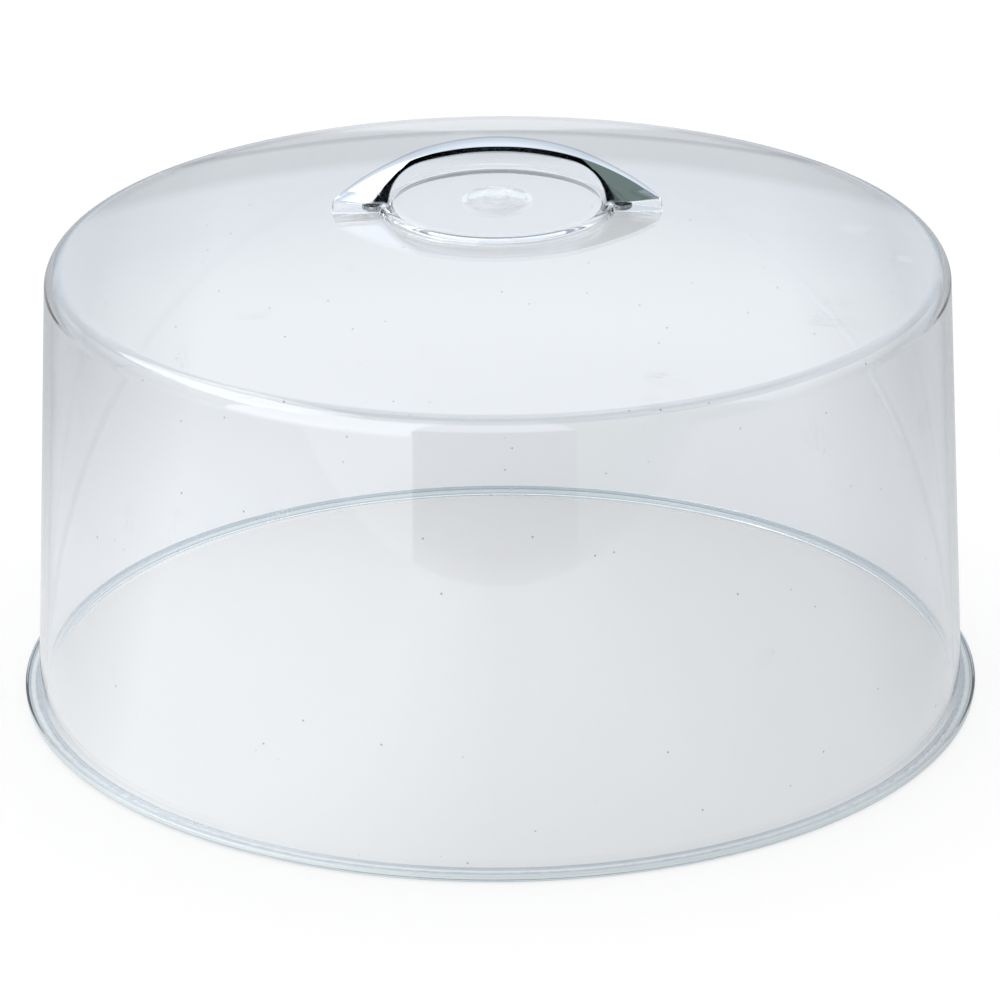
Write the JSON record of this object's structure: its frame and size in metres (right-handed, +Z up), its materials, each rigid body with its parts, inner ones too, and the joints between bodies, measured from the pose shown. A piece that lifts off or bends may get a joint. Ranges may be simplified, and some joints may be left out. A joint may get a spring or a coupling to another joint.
{
  "type": "cake cover",
  "caption": "Round clear plastic cake cover with a leaning wall, shallow crown, flanged rim and a fixed chromed bow handle screwed on from below.",
  "frame": {"origin": "centre of the rim's underside, on the surface that the cover stands on", "axes": "+Z up along the cover's axis; +X along the handle, from the left screw to the right screw; +Y towards the back"},
  "size_m": [0.3048, 0.3048, 0.1798],
  "materials": {
    "clear_acrylic": "clear moulded acrylic, polished mould faces, IOR 1.49",
    "chromed_zinc": "bright chrome plate on die-cast zinc",
    "zinc_plated_steel": "bright zinc-plated steel screw"
  },
  "bodies": {
    "root": {"cover_shell": "clear_acrylic", "handle": "chromed_zinc", "screw_left": "zinc_plated_steel", "screw_right": "zinc_plated_steel"}
  },
  "joints": []
}
